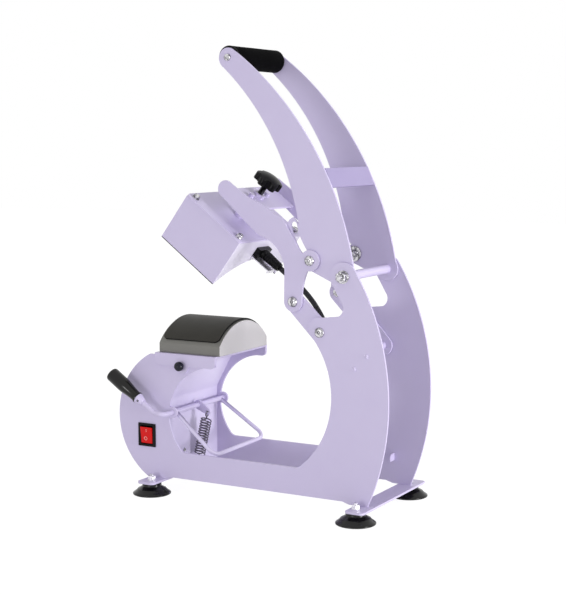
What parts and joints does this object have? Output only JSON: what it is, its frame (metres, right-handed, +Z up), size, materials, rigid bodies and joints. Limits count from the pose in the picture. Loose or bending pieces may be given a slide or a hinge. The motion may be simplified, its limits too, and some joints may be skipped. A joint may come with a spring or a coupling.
{
  "type": "cap heat press",
  "caption": "Bench press with an arched heated head on a toggle linkage, a long twin-arm lever, a curved lower platen, a cap tension bail and suction feet.",
  "frame": {"origin": "on the bench plane, under the middle of the press", "axes": "+Z up; +X to the operator's right, across the press; +Y away from the operator, from the platen to the column"},
  "size_m": [0.21, 0.4126, 0.5985],
  "materials": {
    "lilac_paint": "satin powder coat",
    "zinc": "bright zinc plate",
    "steel": "plain machined steel",
    "black_rubber": "matt moulded rubber",
    "black_foam": "closed-cell foam sleeve",
    "black_plastic": "smooth moulded plastic",
    "red_plastic": "translucent moulded plastic",
    "grey_cast": "satin grey paint on cast aluminium",
    "pad_silicone": "smooth heat-proof silicone",
    "hot_aluminium": "dark non-stick coating on cast aluminium",
    "heater_mat": "mica and foil heater",
    "insulation": "ceramic fibre blanket",
    "board": "printed circuit board",
    "window": "smoked acrylic window",
    "spring_steel": "spring wire",
    "lead_sleeve": "braided heat-proof sleeve"
  },
  "bodies": {
    "base": {"side_plate_right": "lilac_paint", "side_plate_left": "lilac_paint", "foot_bar_front": "lilac_paint", "foot_bar_rear": "lilac_paint", "suction_feet": "black_rubber", "foot_bolts": "zinc", "cross_panel": "lilac_paint", "lead_grommet": "black_rubber", "front_cover": "lilac_paint", "control_board": "board", "display_window": "window", "relay_module": "black_plastic", "power_inlet": "black_plastic", "switch_housing": "black_plastic", "platen_saddle": "lilac_paint", "lower_platen": "grey_cast", "platen_pad": "pad_silicone", "tension_spring": "spring_steel", "spring_anchor": "zinc", "lever_axle": "zinc", "rocker_pivots": "zinc", "stop_block": "lilac_paint", "small_screws": "zinc", "heater_lead": "lead_sleeve"},
    "clamp_knob": {"clamp_knob": "black_plastic"},
    "switch_rocker": {"switch_rocker": "red_plastic"},
    "button_1": {"push_button_1": "black_plastic"},
    "button_2": {"push_button_2": "black_plastic"},
    "button_3": {"push_button_3": "black_plastic"},
    "tension_lever": {"tension_shaft": "lilac_paint", "tension_ferrule": "lilac_paint", "tension_grip": "black_plastic", "cap_bail": "lilac_paint", "spring_lug": "lilac_paint"},
    "main_lever": {"lever_arm_right": "lilac_paint", "lever_arm_left": "lilac_paint", "lever_brace": "lilac_paint", "grip_tube": "steel", "lever_grip": "black_foam", "grip_bolts": "zinc", "arm_spacer": "lilac_paint"},
    "rocker": {"rocker_bar_right": "lilac_paint", "rocker_bar_left": "lilac_paint", "rocker_tie": "lilac_paint"},
    "carriage": {"cheek_right": "lilac_paint", "cheek_left": "lilac_paint", "carriage_bridge": "lilac_paint", "link_bolts": "zinc", "slot_bolts": "zinc"},
    "head": {"head_housing": "lilac_paint", "head_lid": "lilac_paint", "head_bolts": "zinc", "heating_platen": "hot_aluminium", "heater_mat": "heater_mat", "insulation": "insulation", "guide_pins": "zinc", "lead_gland": "black_plastic", "gland_bracket": "zinc"},
    "pressure_knob": {"pressure_screw": "steel", "pressure_knob": "black_plastic"}
  },
  "joints": [
    {"name": "lever_swing", "type": "hinge", "parent": "base", "child": "main_lever", "pos_m": [0, 0.1417, 0.3078], "axis": [1, 0, 0], "range_deg": [0, 36]},
    {"name": "rocker_swing", "type": "hinge", "parent": "base", "child": "rocker", "pos_m": [0, 0.1088, 0.236], "axis": [1, 0, 0], "range_deg": [0, 18.7], "deforming": ["heater_lead"]},
    {"name": "carriage_swing", "type": "hinge", "parent": "rocker", "child": "carriage", "pos_m": [0, 0.07, 0.2729], "axis": [1, 0, 0], "range_deg": [0, 18.3], "deforming": ["heater_lead"]},
    {"name": "head_travel", "type": "slide", "parent": "carriage", "child": "head", "axis": [0, -0.6018, -0.7986], "range_m": [-0.002, 0.003], "deforming": ["heater_lead"]},
    {"name": "knob_turn", "type": "hinge", "parent": "head", "child": "pressure_knob", "pos_m": [0, -0.0805, 0.32175], "axis": [0, 0.6018, 0.7986], "range_deg": [-720, 480]},
    {"name": "tension_swing", "type": "hinge", "parent": "base", "child": "tension_lever", "pos_m": [0, -0.1177, 0.1117], "axis": [1, 0, 0], "range_deg": [0, 60], "stiffness_Nm_per_rad": 0.6, "springref_deg": -20.05, "deforming": ["tension_spring"]},
    {"name": "clamp_turn", "type": "hinge", "parent": "base", "child": "clamp_knob", "pos_m": [0, -0.1, 0.1773], "axis": [1, 0, 0], "range_deg": [-720, 0]},
    {"name": "switch_rock", "type": "hinge", "parent": "base", "child": "switch_rocker", "pos_m": [0.0665, -0.1585, 0.0772], "axis": [0, 1, 0], "range_deg": [-14, 0]},
    {"name": "button_1_press", "type": "slide", "parent": "base", "child": "button_1", "axis": [0, 0.9659, -0.2588], "range_m": [0, 0.0012], "stiffness_N_per_m": 400, "springref_m": -0.001},
    {"name": "button_2_press", "type": "slide", "parent": "base", "child": "button_2", "axis": [0, 0.9659, -0.2588], "range_m": [0, 0.0012], "stiffness_N_per_m": 400, "springref_m": -0.001},
    {"name": "button_3_press", "type": "slide", "parent": "base", "child": "button_3", "axis": [0, 0.9659, -0.2588], "range_m": [0, 0.0012], "stiffness_N_per_m": 400, "springref_m": -0.001}
  ],
  "couplings": [
    {"joint": "rocker_swing", "follows": "lever_swing", "ratio": 0.51944},
    {"joint": "carriage_swing", "follows": "lever_swing", "ratio": 0.50833},
    {"joint": "knob_turn", "follows": "head_travel", "rad_per_m": -4188.8}
  ]
}
